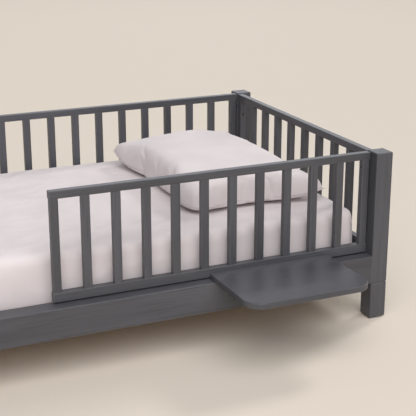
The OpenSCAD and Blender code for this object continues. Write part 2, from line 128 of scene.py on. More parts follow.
class WoodSettings(bpy.types.PropertyGroup):
    """Colours and edges of the frame"""
    paint: colour("Paint", "Colour of the painted frame", (0.077, 0.077, 0.086))
    # pale colour on edges: partly worn paint, partly a painted highlight along the edges
    paint_worn_and_highlight: colour("Worn paint", "Colour where the paint is thin on edges", (0.20, 0.195, 0.20))
    paint_gloss: share("Paint roughness", "Roughness of the satin paint", 0.42)
    raw: colour("Raw wood", "Colour of the unpainted slats and ledgers", (0.62, 0.43, 0.25))
    raw_dark: colour("Late wood", "Colour of the growth rings in the raw wood", (0.44, 0.27, 0.14))
    post_edge: length("Post edge", "Width of the eased edges of posts and legs", 0.003)
    guard_edge: length("Guard edge", "Width of the eased edges of guards, ledgers and dowels", 0.0007)
    shelf_edge: length("Shelf edge", "Width of the shelf's rounded arris", 0.0025)
    slat_edge: length("Slat edge", "Width of the eased edges of the base slats", 0.0015)
    metal_edge: length("Metal edge", "Width of the broken edges of steel and nylon pieces", 0.0003)


class BeddingSettings(bpy.types.PropertyGroup):
    """Cloth, mattress and pillow"""
    linen: colour("Linen", "Colour of the sheet and the pillow case", (0.735, 0.665, 0.668))
    ticking: colour("Ticking", "Colour of the mattress cover", (0.80, 0.78, 0.74))
    thread: length("Thread pitch", "Distance between two threads of the weave", 0.0007)
    cloth: length("Cloth", "Thickness of the sheet and the pillow case", 0.0010)
    mattress_cell: length("Mattress cell", "Size of the mattress mesh's faces", 0.016)
    mattress_swell: length("Mattress swell", "Most that the mattress cover may swell", 0.007)
    quilt_pitch: length("Quilting pitch", "Distance between the mattress cover's channels", 0.085)
    quilt_depth: length("Quilting depth", "Depth of the mattress cover's channels", 0.0022)
    crease: length("Crease height", "Height of the soft creases in the sheet", 0.0034)
    case_length: length("Case length", "Length of the empty pillow case", 0.600)
    case_width: length("Case width", "Width of the empty pillow case", 0.400)
    case_cell: length("Case cell", "Size of the pillow mesh's faces", 0.007)
    pillow_fill: share("Pillow fill", "How full the pillow is", 0.7)
    seam: length("Seam", "Thickness of the rolled seams", 0.0022)


class StageSettings(bpy.types.PropertyGroup):
    """Floor, lights and camera"""
    floor: colour("Floor", "Colour of the floor", (0.735, 0.655, 0.565))
    sky: colour("Room light", "Colour of the light from all round", (0.86, 0.92, 1.0))
    sky_power: FloatProperty(name="Room power", description="Strength of the light from all round",
                             min=0.0, default=0.22)
    lens: FloatProperty(name="Lens", description="Focal length of the camera in millimetres",
                        unit="CAMERA", min=20.0, default=93.07)
    eye: FloatVectorProperty(name="Camera place", description="Where the camera stands",
                             subtype="TRANSLATION", size=3, default=(-0.7456, -2.7004, 1.2245))
    turn: FloatProperty(name="Camera turn", description="Camera's turn from +Y towards +X",
                        subtype="ANGLE", default=math.radians(24.19))
    dip: FloatProperty(name="Camera dip", description="Camera's tilt below level",
                       subtype="ANGLE", default=math.radians(17.88))
    key_power: FloatProperty(name="Key light", description="Strength of the main light",
                             min=0.0, default=2.3)
    key_height: FloatProperty(name="Key height", description="Angle of the main light above the floor",
                              subtype="ANGLE", default=math.radians(54))
    key_side: FloatProperty(name="Key side", description="Turn of the main light towards the foot end",
                            subtype="ANGLE", default=math.radians(8.5))
    key_spread: FloatProperty(name="Key spread", description="Width of the main light, seen from the bed",
                              subtype="ANGLE", default=math.radians(68))
    side_power: FloatProperty(name="Side light", description="Strength of the light from the head end",
                              min=0.0, default=0.95)
    back_power: FloatProperty(name="Back light", description="Power in watts of the light behind, for sheen",
                              subtype="POWER", min=0.0, default=110.0)
    fill_power: FloatProperty(name="Fill light", description="Power of the soft light in front in watts",
                              subtype="POWER", min=0.0, default=50.0)
    subdivisions: IntProperty(name="Subdivisions", description="Smoothing levels of soft pieces",
                              min=0, max=2, default=1)


# ---- small tools ----

def deselect_all():
    """Nothing selected, in object mode."""
    active = bpy.context.view_layer.objects.active
    if active is not None and active.mode != "OBJECT":
        bpy.ops.object.mode_set(mode="OBJECT")
    bpy.ops.object.select_all(action="DESELECT")


def pick(piece):
    """Makes one object the only selected and active one."""
    deselect_all()
    piece.select_set(True)
    bpy.context.view_layer.objects.active = piece


def named(piece, name):
    """Names an object and its mesh."""
    piece.name = name
    piece.data.name = name
    return piece


def settle(piece):
    """Moves an object's place, turn and size into its mesh."""
    pick(piece)
    bpy.ops.object.transform_apply(location=True, rotation=True, scale=True)


def apply_modifier(piece, kind, **settings):
    """Adds a modifier with these settings and applies it."""
    pick(piece)
    bpy.ops.object.modifier_add(type=kind)
    modifier = piece.modifiers[-1]
    for key, value in settings.items():
        setattr(modifier, key, value)
    bpy.ops.object.modifier_apply(modifier=modifier.name)


def live_modifier(piece, kind, **settings):
    """Adds a modifier with these settings and leaves it live."""
    modifier = piece.modifiers.new(kind.title(), kind)
    for key, value in settings.items():
        setattr(modifier, key, value)


def copy_of(piece, name):
    """A copy with its own mesh."""
    twin = bpy.data.objects.new(name, piece.data.copy())
    bpy.context.scene.collection.objects.link(twin)
    return named(twin, name)


def points_of(piece):
    """A mesh's points as an array."""
    flat = np.empty(len(piece.data.vertices) * 3)
    piece.data.vertices.foreach_get("co", flat)
    return flat.reshape(-1, 3)


def set_points(piece, points):
    """Puts an array of points back into a mesh."""
    piece.data.vertices.foreach_set("co", np.ascontiguousarray(points, float).ravel())
    piece.data.update()


def normals_of(piece):
    """A mesh's point normals as an array."""
    flat = np.empty(len(piece.data.vertices) * 3)
    piece.data.vertex_normals.foreach_get("vector", flat)
    return flat.reshape(-1, 3)


def smooth(piece):
    """Smooth shading all over."""
    pick(piece)
    bpy.ops.object.shade_smooth()


def face_cloth_map(piece):
    """A UV map in metres, laid flat on each face's main side, for the weave."""
    mesh = piece.data
    layer = mesh.uv_layers.get("weave") or mesh.uv_layers.new(name="weave")
    corner_points = np.empty(len(mesh.loops), int)
    mesh.loops.foreach_get("vertex_index", corner_points)
    face_normals = np.empty(len(mesh.polygons) * 3)
    mesh.polygons.foreach_get("normal", face_normals)
    counts = np.empty(len(mesh.polygons), int)
    mesh.polygons.foreach_get("loop_total", counts)
    side = np.repeat(np.abs(face_normals.reshape(-1, 3)).argmax(axis=1), counts)
    corners = points_of(piece)[corner_points]
    across = np.where(side == 0, 1, 0)
    along = np.where(side == 2, 1, 2)
    rows = np.arange(len(corners))
    uv = np.stack([corners[rows, across], corners[rows, along]], axis=1)
    layer.data.foreach_set("uv", uv.ravel())


def tube(name, routes, radius, sides, closed):
    """A round cord of cloth along each route, made as a mesh."""
    curve = bpy.data.curves.new(name, "CURVE")
    curve.dimensions = "3D"
    curve.bevel_depth = radius
    curve.bevel_resolution = sides
    curve.use_fill_caps = not closed
    for route in routes:
        line = curve.splines.new("POLY")
        line.points.add(len(route) - 1)
        for point, place in zip(line.points, route):
            point.co = (*place, 1.0)
        line.use_cyclic_u = closed
    piece = bpy.data.objects.new(name, curve)
    bpy.context.scene.collection.objects.link(piece)
    pick(piece)
    bpy.ops.object.convert(target="MESH")
    return named(bpy.context.view_layer.objects.active, name)


def swell(piece, pressure, frames):
    """Blows a closed mesh up as cloth, with no gravity, and keeps the result."""
    pick(piece)
    bpy.ops.object.modifier_add(type="CLOTH")
    cloth = piece.modifiers[-1]
    fabric = cloth.settings
    fabric.quality = 5
    fabric.mass = 0.3
    fabric.tension_stiffness = 15
    fabric.compression_stiffness = 15
    fabric.shear_stiffness = 5
    fabric.bending_stiffness = 0.5
    fabric.air_damping = 2
    fabric.use_pressure = True
    fabric.uniform_pressure_force = pressure
    fabric.effector_weights.gravity = 0
    cloth.point_cache.frame_start = 1
    cloth.point_cache.frame_end = frames
    for number in range(1, frames + 1):
        bpy.context.scene.frame_set(number)
    bpy.ops.object.modifier_apply(modifier=cloth.name)
    bpy.context.scene.frame_set(1)


def capped(start, end, most):
    """End points, none of them further than most from its start."""
    shift = end - start
    far = np.linalg.norm(shift, axis=1, keepdims=True)
    nowhere = 1e-9
    return start + shift * np.minimum(1.0, most / np.maximum(far, nowhere))


def soft_noise(places, size, seed):
    """Smooth noise from -1 to 1 at each place, with bumps of about this size on each axis."""
    offset = Vector([seed * shift for shift in NOISE_SHIFT])
    step = Vector([1 / s for s in size])
    return np.array([noise.noise(Vector(p) * step + offset) for p in places])


# ---- finishes ----

def scaled(tint, factor):
    """A colour made paler or deeper."""
    return [min(1.0, factor * c) for c in tint]


class Finish:
    """A material under construction: its node tree and its shader."""

    def __init__(self, name, base, roughness, sockets):
        self.material = bpy.data.materials.new(name)
        self.material.use_nodes = True
        self.tree = self.material.node_tree
        self.shader = self.tree.nodes["Principled BSDF"]
        self.shader.inputs["Base Color"].default_value = (*base, 1.0)
        self.shader.inputs["Roughness"].default_value = roughness
        for key, value in sockets.items():
            self.shader.inputs[key].default_value = value
        self.material.diffuse_color = (*base, 1.0)

    def add(self, kind, inputs=None, **settings):
        """Adds a node; an input is either a value or another node's output."""
        node = self.tree.nodes.new(kind)
        for key, value in settings.items():
            setattr(node, key, value)
        for key, value in (inputs or {}).items():
            if isinstance(value, bpy.types.NodeSocket):
                self.tree.links.new(value, node.inputs[key])
            else:
                node.inputs[key].default_value = value
        return node

    def place(self, scale=(1, 1, 1)):
        """Object coordinates in metres, scaled for a pattern."""
        coords = self.add("ShaderNodeTexCoord").outputs["Object"]
        return self.add("ShaderNodeMapping", {"Vector": coords, "Scale": scale}).outputs["Vector"]

    def noise(self, vector, scale, detail=2.0, roughness=0.5, distortion=0.0):
        """A noise pattern's value."""
        return self.add(
            "ShaderNodeTexNoise",
            {"Vector": vector, "Scale": scale, "Detail": detail, "Roughness": roughness,
             "Distortion": distortion},
        ).outputs["Fac"]

    def between(self, value, low, high, to_low=0.0, to_high=1.0):
        """A value moved from one range to another, held at the ends."""
        return self.add(
            "ShaderNodeMapRange",
            {"Value": value, "From Min": low, "From Max": high, "To Min": to_low, "To Max": to_high},
        ).outputs["Result"]

    def mixed(self, factor, first, second):
        """One colour blended into another."""
        node = self.add("ShaderNodeMix", data_type="RGBA")
        factor_socket, first_socket, second_socket = (node.inputs[i] for i in (0, 6, 7))
        for socket, value in ((factor_socket, factor), (first_socket, first), (second_socket, second)):
            if isinstance(value, bpy.types.NodeSocket):
                self.tree.links.new(value, socket)
            elif isinstance(value, float):
                socket.default_value = value
            else:
                socket.default_value = (*value, 1.0)
        return node.outputs[2]

    def sum(self, operation, first, second):
        """Arithmetic on two values."""
        node = self.add("ShaderNodeMath", operation=operation)
        for socket, value in zip(node.inputs, (first, second)):
            if isinstance(value, bpy.types.NodeSocket):
                self.tree.links.new(value, socket)
            else:
                socket.default_value = value
        return node.outputs[0]

    def bump(self, height, strength, distance, below=None):
        """A bump from a height, on top of another bump."""
        inputs = {"Height": height, "Strength": strength, "Distance": distance}
        if below is not None:
            inputs["Normal"] = below
        return self.add("ShaderNodeBump", inputs).outputs["Normal"]

    def set(self, socket, value):
        """Feeds one of the shader's sockets."""
        self.tree.links.new(value, self.shader.inputs[socket])


def along_axis(axis, along, across):
    """A scale with one value along an axis and another one across it."""
    return tuple(along if name == axis else across for name in AXES)


def paint_finish(axis, wood):
    """Satin paint over close-grained wood, with the grain along an axis."""
    finish = Finish(f"satin_paint_{axis}", wood.paint, wood.paint_gloss, {GLOSS: 0.42})
    grain = finish.noise(
        finish.place(along_axis(axis, *PAINT_GRAIN)), scale=1.0, detail=4.0, roughness=0.62, distortion=0.4,
    )
    board = finish.noise(finish.place(along_axis(axis, *PAINT_BOARD)), scale=1.0)
    brush = finish.noise(finish.place(along_axis(axis, *PAINT_BRUSH)), scale=1.0)
    skin = finish.noise(finish.place(), scale=1400.0)
    pale = scaled(wood.paint, 1.24)
    deep = scaled(wood.paint, 0.84)
    pore_tint = scaled(wood.paint, 0.6)
    tone = finish.mixed(finish.between(board, low=0.35, high=0.65), deep, pale)
    pores = finish.between(grain, low=0.30, high=0.52, to_low=0.62, to_high=0.0)
    tone = finish.mixed(pores, tone, pore_tint)
    # painted highlight along edges where the surface turns sharply, partly also paint worn thin there, in
    # patches
    rounded = finish.add("ShaderNodeBevel", {"Radius": 0.0022}, samples=4).outputs["Normal"]
    true = finish.add("ShaderNodeNewGeometry").outputs["Normal"]
    agree = finish.add("ShaderNodeVectorMath", {0: rounded, 1: true}, operation="DOT_PRODUCT")
    edge = finish.between(agree.outputs["Value"], low=0.99, high=0.90, to_low=0.0, to_high=0.85)
    patches = finish.noise(finish.place(), scale=42.0, detail=3.0, roughness=0.6)
    patchy = finish.between(patches, low=0.30, high=0.52, to_low=0.25)
    wear_and_highlight = finish.sum("MULTIPLY", edge, patchy)
    finish.set("Base Color", finish.mixed(wear_and_highlight, tone, list(wood.paint_worn_and_highlight)))
    smoothest, roughest = wood.paint_gloss - 0.05, wood.paint_gloss + 0.07
    finish.set("Roughness", finish.between(board, 0.3, 0.7, to_low=smoothest, to_high=roughest))
    low = finish.bump(grain, strength=0.16, distance=0.0004)
    low = finish.bump(brush, strength=0.10, distance=0.0002, below=low)
    finish.set("Normal", finish.bump(skin, strength=0.05, distance=0.0001, below=low))
    return finish.material


def raw_wood_finish(axis, wood):
    """Planed softwood with growth rings along an axis, not painted."""
    finish = Finish(f"planed_wood_{axis}", wood.raw, 0.6, {GLOSS: 0.3})
    honey = [0.75, 0.58, 0.38]
    wobble = finish.noise(finish.place(along_axis(axis, *RAW_WOBBLE)), scale=1.0, detail=3.0)
    rings = finish.add(
        "ShaderNodeTexWave",
        {"Vector": finish.place(along_axis(axis, *RAW_RINGS)), "Scale": 1.0, "Distortion": 5.0,
         "Detail": 2.0, "Detail Scale": 1.0},
        wave_type="RINGS", rings_direction=axis.upper(), wave_profile="SAW",
    ).outputs["Fac"]
    fibre = finish.noise(
        finish.place(along_axis(axis, *RAW_FIBRE)), scale=1.0, detail=3.0, roughness=0.6,
    )
    late_wood = finish.sum("MULTIPLY", rings, 0.55)
    tone = finish.mixed(late_wood, list(wood.raw), list(wood.raw_dark))
    tone = finish.mixed(finish.between(wobble, low=0.35, high=0.7, to_high=0.35), tone, honey)
    streaks = finish.between(fibre, low=0.35, high=0.6, to_low=0.25, to_high=0.0)
    tone = finish.mixed(streaks, tone, list(wood.raw_dark))
    finish.set("Base Color", tone)
    finish.set("Roughness", finish.between(fibre, 0.3, 0.7, to_low=0.52, to_high=0.72))
    low = finish.bump(rings, strength=0.12, distance=0.0004)
    finish.set("Normal", finish.bump(fibre, strength=0.25, distance=0.0003, below=low))
    return finish.material


def steel_finish(name, dull, bright):
    """Plated steel with a dull spangle and fine scratches, between two greys."""
    finish = Finish(name, (dull, dull, dull), 0.34, {"Metallic": 1.0})
    spangle = finish.noise(finish.place(), scale=260.0, detail=3.0, roughness=0.6)
    scratch = finish.noise(finish.place((900, 900, 60)), scale=1.0)
    finish.set("Base Color", finish.mixed(finish.between(spangle, 0.3, 0.7), [dull] * 3, [bright] * 3))
    finish.set("Roughness", finish.between(spangle, 0.3, 0.7, to_low=0.26, to_high=0.44))
    finish.set("Normal", finish.bump(scratch, strength=0.12, distance=0.0001))
    return finish.material


def nylon_finish():
    """Black moulded nylon with a fine spark-eroded texture."""
    dark, light = (0.020, 0.020, 0.022), (0.034, 0.034, 0.036)
    finish = Finish("moulded_nylon", (0.025, 0.025, 0.027), 0.5, {GLOSS: 0.45})
    texture = finish.noise(finish.place(), scale=1900.0, roughness=0.6)
    cloud = finish.noise(finish.place(), scale=60.0)
    finish.set("Base Color", finish.mixed(finish.between(cloud, 0.3, 0.7), dark, light))
    finish.set("Roughness", finish.between(cloud, 0.3, 0.7, to_low=0.44, to_high=0.58))
    finish.set("Normal", finish.bump(texture, strength=0.3, distance=0.0001))
    return finish.material


def woven_finish(name, base, pitch, sheen):
    """Plain-woven cotton whose threads follow the piece's own weave map."""
    finish = Finish(name, base, 0.88, {GLOSS: 0.22, "Sheen Weight": sheen, "Sheen Roughness": 0.45})
    cloth_map = finish.add("ShaderNodeUVMap", uv_map="weave").outputs["UV"]
    wave_length = 0.31416       # length of one band of the wave pattern at a scale of 1
    band = wave_length / pitch
    threads = [
        finish.add(
            "ShaderNodeTexWave",
            {"Vector": cloth_map, "Scale": band, "Distortion": 0.6, "Detail": 1.0, "Detail Scale": 0.4},
            bands_direction=direction,
        ).outputs["Fac"]
        for direction in "XY"
    ]
    weave = finish.sum("MAXIMUM", *threads)
    stretched = finish.add("ShaderNodeMapping", {"Vector": cloth_map, "Scale": (30, 700, 1)})
    slub = finish.noise(stretched.outputs["Vector"], scale=1.0, roughness=0.6)
    cloud = finish.noise(finish.place(), scale=7.0)
    soft = scaled(base, 1.035)
    grey = scaled(base, 0.955)
    thick_thread = scaled(base, 0.93)
    thread_gap_shade = scaled(base, 0.80)
    tone = finish.mixed(finish.between(cloud, low=0.35, high=0.65), grey, soft)
    tone = finish.mixed(finish.between(slub, low=0.58, high=0.72, to_high=0.35), tone, thick_thread)
    # painted shade: the gaps between the threads are darkened
    tone = finish.mixed(
        finish.between(weave, low=0.2, high=0.9, to_low=0.10, to_high=0.0), tone, thread_gap_shade,
    )
    finish.set("Base Color", tone)
    low = finish.bump(slub, strength=0.10, distance=0.0002)
    finish.set("Normal", finish.bump(weave, strength=0.22, distance=0.0002, below=low))
    return finish.material


def coat(node_name, material):
    """Gives a CAD node one material all over."""
    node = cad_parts[node_name]
    node.data.materials.clear()
    node.data.materials.append(material)
    for face in node.data.polygons:
        face.material_index = 0


def ease_edges(node_name, width, steps=2, curved=False):
    """Rounds a CAD node's hard edges with live modifiers, and shades a curved one smooth."""
    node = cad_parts[node_name]
    for face in node.data.polygons:
        face.use_smooth = curved
    live_modifier(node, "WELD", merge_threshold=1e-5)
    live_modifier(node, "DECIMATE", decimate_type="DISSOLVE", angle_limit=math.radians(0.5))
    live_modifier(
        node, "BEVEL", width=width, segments=steps, limit_method="ANGLE",
        angle_limit=math.radians(35), use_clamp_overlap=False,
    )
    if curved:
        live_modifier(node, "WEIGHTED_NORMAL", keep_sharp=False, weight=90)


class BED_OT_painted_frame(bpy.types.Operator):
    """Paints the posts, legs, rails, guards and shelf, and eases the edges of all but the side and end rails
    """
    bl_idname = "toddler_bed.painted_frame"
    bl_label = "Painted frame"

    def execute(self, context):
        wood = context.scene.bed_wood
        for axis, names in PAINTED.items():
            material = paint_finish(axis, wood)
            for name in names:
                coat(name, material)
                if "guard" in name:
                    ease_edges(name, wood.guard_edge)
                elif name == "shelf":
                    ease_edges(name, wood.shelf_edge, 3, curved=True)
                elif "rail" not in name:
                    ease_edges(name, wood.post_edge)
        return {"FINISHED"}


class BED_OT_slatted_base(bpy.types.Operator):
    """Finishes the ledgers, base slats and dowels as planed wood"""
    bl_idname = "toddler_bed.slatted_base"
    bl_label = "Slatted base"

    def execute(self, context):
        wood = context.scene.bed_wood
        for axis, names in RAW_WOOD.items():
            material = raw_wood_finish(axis, wood)
            for name in names:
                coat(name, material)
                ease_edges(name, wood.slat_edge if name == "base_slats" else wood.guard_edge)
        return {"FINISHED"}


class BED_OT_hardware(bpy.types.Operator):
    """Finishes bolts, screws and brackets as steel, and glides and washers as nylon"""
    bl_idname = "toddler_bed.hardware"
    bl_label = "Hardware"

    def execute(self, context):
        edge = context.scene.bed_wood.metal_edge
        finishes = (
            (STEEL, steel_finish("plated_steel", dull=0.50, bright=0.68)),
            (BLACK_STEEL, steel_finish("blackened_steel", dull=0.05, bright=0.08)),
            (NYLON, nylon_finish()),
        )
        for names, material in finishes:
            for name in names:
                coat(name, material)
                ease_edges(name, edge, curved=True)
        return {"FINISHED"}


# ---- mattress and sheet ----

def side_edges(piece, wanted):
    """Selects the edges of a box that a test picks out, in edit mode."""
    pick(piece)
    bpy.ops.object.mode_set(mode="EDIT")
    bpy.ops.mesh.select_mode(type="EDGE")
    bpy.ops.mesh.select_all(action="DESELECT")
    mesh = bmesh.from_edit_mesh(piece.data)
    for edge in mesh.edges:
        first, second = (corner.co for corner in edge.verts)
        edge.select = wanted(first, second)
    mesh.select_flush_mode()
    bmesh.update_edit_mesh(piece.data)


def mattress_block(low, high, corner, top_round, low_round):
    """A block with round corners, a soft top edge and a firmer bottom edge."""
    middle = (low + high) / 2
    bpy.ops.mesh.primitive_cube_add(size=1, location=middle)
    piece = named(bpy.context.object, "mattress_pad")
    piece.scale = high - low
    settle(piece)
    side_edges(piece, lambda a, b: abs(a.z - b.z) > SAME_PLACE)
    bpy.ops.mesh.bevel(offset=corner, segments=6, affect="EDGES")
    bpy.ops.object.mode_set(mode="OBJECT")
    for level, width in ((high.z, top_round), (low.z, low_round)):
        side_edges(piece, lambda a, b: max(abs(a.z - level), abs(b.z - level)) < SAME_PLACE)
        bpy.ops.mesh.bevel(offset=width, segments=4, affect="EDGES")
        bpy.ops.object.mode_set(mode="OBJECT")
    return piece


def quilting(points, pitch):
    """0 on a diamond channel and 1 in the middle of a cushion between channels."""
    rising = (points[:, 0] + points[:, 1]) / pitch
    falling = (points[:, 0] - points[:, 1]) / pitch
    fullness = 0.5
    return np.abs(np.sin(math.pi * rising)) ** fullness * np.abs(np.sin(math.pi * falling)) ** fullness


class BED_OT_mattress(bpy.types.Operator):
    """Makes the mattress in its quilted cover by cloth simulation"""
    bl_idname = "toddler_bed.mattress"
    bl_label = "Mattress"

    def execute(self, context):
        bedding = context.scene.bed_bedding
        low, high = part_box("mattress")
        start_share = 0.75      # of the swelling, left free before it starts
        rise_share = 0.35       # of the upward swelling, kept
        hem_room = 0.0014       # for the sheet's hem under the mattress
        cover_room = 0.0048     # for the sheet and its creases above it
        start_inset = bedding.mattress_swell * start_share
        low_corner = low + Vector((start_inset, start_inset, hem_room))
        high_corner = high - Vector((start_inset, start_inset, start_inset))
        piece = mattress_block(low_corner, high_corner, corner=0.022, top_round=0.022, low_round=0.012)
        piece.data.remesh_voxel_size = bedding.mattress_cell
        pick(piece)
        bpy.ops.object.voxel_remesh()
        start = points_of(piece)
        swell(piece, pressure=4.0, frames=20)
        points = capped(start, points_of(piece), bedding.mattress_swell)
        points[:, 2] = start[:, 2] + rise_share * (points[:, 2] - start[:, 2])
        lowest = low.z + hem_room
        highest = high.z - cover_room
        points[:, 2] += highest - points[:, 2].max()
        points[:, 2] = np.maximum(points[:, 2], lowest)
        set_points(piece, points)
        apply_modifier(piece, "SUBSURF", levels=context.scene.bed_stage.subdivisions, render_levels=1)
        points = points_of(piece)
        under_height, under_fade = 0.012, 0.008
        quilt_inset, quilt_fade = 0.075, 0.03
        under = np.clip((low.z + under_height - points[:, 2]) / under_fade, 0.0, 1.0)
        inner = np.minimum(
            np.minimum(points[:, 0] - low.x, high.x - points[:, 0]),
            np.minimum(points[:, 1] - low.y, high.y - points[:, 1]),
        )
        inside = np.clip((inner - quilt_inset) / quilt_fade, 0.0, 1.0)
        channel = 1.0 - quilting(points, bedding.quilt_pitch)
        points[:, 2] = np.maximum(points[:, 2], lowest) + under * inside * channel * bedding.quilt_depth
        set_points(piece, points)
        smooth(piece)
        face_cloth_map(piece)
        coarse = 1.6            # ticking's threads against the sheet's
        ticking = woven_finish("quilted_ticking", bedding.ticking, bedding.thread * coarse, sheen=0.1)
        piece.data.materials.append(ticking)
        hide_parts("mattress")
        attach(piece, MATTRESS_BODY)
        return {"FINISHED"}


def sheet_creases(points, normals, low, high, height):
    """How far the sheet stands off the mattress, in metres, at each point."""
    middle_y = (low.y + high.y) / 2
    corner_reach = 0.22         # from an end or a side to where the corner's gathers fade out
    upright = 1.6               # how quickly a face counts as part of the side
    side = np.clip(1.0 - upright * np.abs(normals[:, 2]), 0.0, 1.0)
    past_end = np.abs(points[:, 0]) - (high.x - corner_reach)
    past_side = np.abs(points[:, 1] - middle_y) - (high.y - middle_y - corner_reach)
    near_end = np.clip(past_end / corner_reach, 0.0, 1.0)
    near_side = np.clip(past_side / corner_reach, 0.0, 1.0)
    turned = np.stack([points[:, 0] + points[:, 1], points[:, 1] - points[:, 0], points[:, 2]], axis=1)
    # long soft creases, with a narrow crest on each
    broad = 0.5 + 0.5 * soft_noise(turned, size=(0.62, 0.17, 0.4), seed=5)
    slanting_width, lengthways_width, lengthways_share = 0.22, 0.25, 0.8
    slanting = 1.0 - np.abs(soft_noise(turned, size=(0.40, 0.080, 0.3), seed=2)) / slanting_width
    lengthways = 1.0 - np.abs(soft_noise(points, size=(0.30, 0.060, 0.060), seed=1)) / lengthways_width
    crests = np.clip(slanting, 0.0, 1.0) ** 2 + lengthways_share * np.clip(lengthways, 0.0, 1.0) ** 2
    contrast, faintest = 1.6, 0.1
    where = np.clip(0.5 + contrast * soft_noise(points, size=(0.35, 0.30, 0.5), seed=8), faintest, 1.0)
    # upright gathers from the elastic below, strongest at the corners
    stretch = 0.12
    run = np.stack([points[:, 0], points[:, 1], stretch * points[:, 2]], axis=1)
    gather = 0.5 + 0.5 * soft_noise(run, size=(0.030, 0.030, 0.030), seed=3)
    at_hem, weakest = 1.15, 0.3
    pull = np.clip(at_hem - (points[:, 2] - low.z) / (high.z - low.z), weakest, 1.0)
    along_sides, at_corners = 0.35, 1.2
    gathers = side * gather * pull * (along_sides + at_corners * near_end * near_side)
    broad_share, crest_share, gather_share = 0.7, 0.6, 1.6
    return height * (broad_share * broad + crest_share * where * crests + gather_share * gathers)


def drop_underside(piece, low, high, hem):
    """Removes the faces under the mattress, all but the hem."""
    skirt = 0.02                # the underside lies lower than this above the sheet's lowest level
    facing_down = -0.7
    pick(piece)
    bpy.ops.object.mode_set(mode="EDIT")
    bpy.ops.mesh.select_mode(type="FACE")
    bpy.ops.mesh.select_all(action="DESELECT")
    mesh = bmesh.from_edit_mesh(piece.data)
    for face in mesh.faces:
        middle = face.calc_center_median()
        inner = min(middle.x - low.x, high.x - middle.x, middle.y - low.y, high.y - middle.y)
        face.select = middle.z < low.z + skirt and face.normal.z < facing_down and inner > hem
    mesh.select_flush_mode()
    bmesh.update_edit_mesh(piece.data)
    bpy.ops.mesh.delete(type="FACE")
    bpy.ops.object.mode_set(mode="OBJECT")


def open_loop(piece):
    """The points round a mesh's open edge, in order."""
    mesh = bmesh.new()
    mesh.from_mesh(piece.data)
    rim = {}
    for edge in mesh.edges:
        if edge.is_boundary:
            first, second = edge.verts
            rim.setdefault(first.index, []).append(second.index)
            rim.setdefault(second.index, []).append(first.index)
    mesh.verts.ensure_lookup_table()
    start = min(rim)
    route, before, here = [], None, start
    while True:
        route.append(tuple(mesh.verts[here].co))
        following = [other for other in rim[here] if other != before]
        before, here = here, following[0]
        if here == start or len(route) > len(rim):
            break
    mesh.free()
    return route


def corner_seam(surface, corner, centre, top_z, low_z, lift):
    """A route down one corner of the sheet, just off its surface."""
    stitches = 24
    clear = 0.1                 # how far outside the sheet each look inwards starts
    to_x, to_y = (math.copysign(1, corner[i] - centre[i]) for i in (0, 1))
    outward = Vector((to_x, to_y, 0.0)).normalized()
    route = []
    for step in range(stitches + 1):
        height = top_z + (low_z - top_z) * step / stitches
        start = Vector((corner.x, corner.y, height)) + outward * clear
        place, normal = surface.ray_cast(start, -outward)[:2]
        if place is not None:
            route.append(tuple(place + normal * lift))
    return route


class BED_OT_fitted_sheet(bpy.types.Operator):
    """Makes the fitted sheet over the mattress, with its elastic hem and corner seams"""
    bl_idname = "toddler_bed.fitted_sheet"
    bl_label = "Fitted sheet"

    def execute(self, context):
        bedding = context.scene.bed_bedding
        low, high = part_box("fitted_sheet")
        hem = 0.060
        base_gap = 0.0003       # between the hem and the base slats
        skin_gap = 0.0004       # between the mattress and the sheet
        hair = 0.0001           # smallest step between two surfaces
        pad = bpy.data.objects["mattress_pad"]
        piece = copy_of(pad, "fitted_sheet_cloth")
        piece.data.materials.clear()
        drop_underside(piece, low, high, hem)
        points, normals = points_of(piece), normals_of(piece)
        core_low, core_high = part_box("mattress")
        flat_low = low.z + base_gap
        stand_off = skin_gap + sheet_creases(points, normals, core_low, core_high, bedding.crease)
        points = points + normals * stand_off[:, None]
        facing_down = -0.8
        under = normals[:, 2] < facing_down
        points[under, 2] = flat_low + hair
        points[:, 2] = np.clip(points[:, 2], flat_low, high.z - bedding.cloth - 2 * hair)
        set_points(piece, points)
        hem_route = open_loop(piece)
        apply_modifier(piece, "SOLIDIFY", thickness=bedding.cloth, offset=1.0, use_rim=True)
        smooth(piece)
        face_cloth_map(piece)
        linen = woven_finish("cotton_sheet", bedding.linen, bedding.thread, sheen=0.18)
        piece.data.materials.append(linen)
        mesh = bmesh.new()
        mesh.from_mesh(piece.data)
        surface = BVHTree.FromBMesh(mesh)
        mesh.free()
        middle = (low + high) / 2
        corner_in = 0.05
        seam_top, seam_low = high.z - 0.012, low.z + 0.004
        routes = [
            corner_seam(surface, Vector((x, y, 0)), middle, seam_top, seam_low, lift=2 * hair)
            for x in (low.x + corner_in, high.x - corner_in)
            for y in (low.y + corner_in, high.y - corner_in)
        ]
        seam_radius = bedding.seam * 0.36
        seams = tube("sheet_corner_seams", routes, seam_radius, sides=2, closed=False)
        elastic_radius, elastic_rise = 0.0014, 0.0016
        elastic_route = [(x, y, flat_low + elastic_rise) for x, y, _ in hem_route]
        elastic = tube("sheet_elastic", [elastic_route], elastic_radius, sides=2, closed=True)
        for trim in (seams, elastic):
            smooth(trim)
            face_cloth_map(trim)
            trim.data.materials.append(linen)
            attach(trim, MATTRESS_BODY)
        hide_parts("fitted_sheet")
        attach(piece, MATTRESS_BODY)
        return {"FINISHED"}


# ---- pillow and case ----

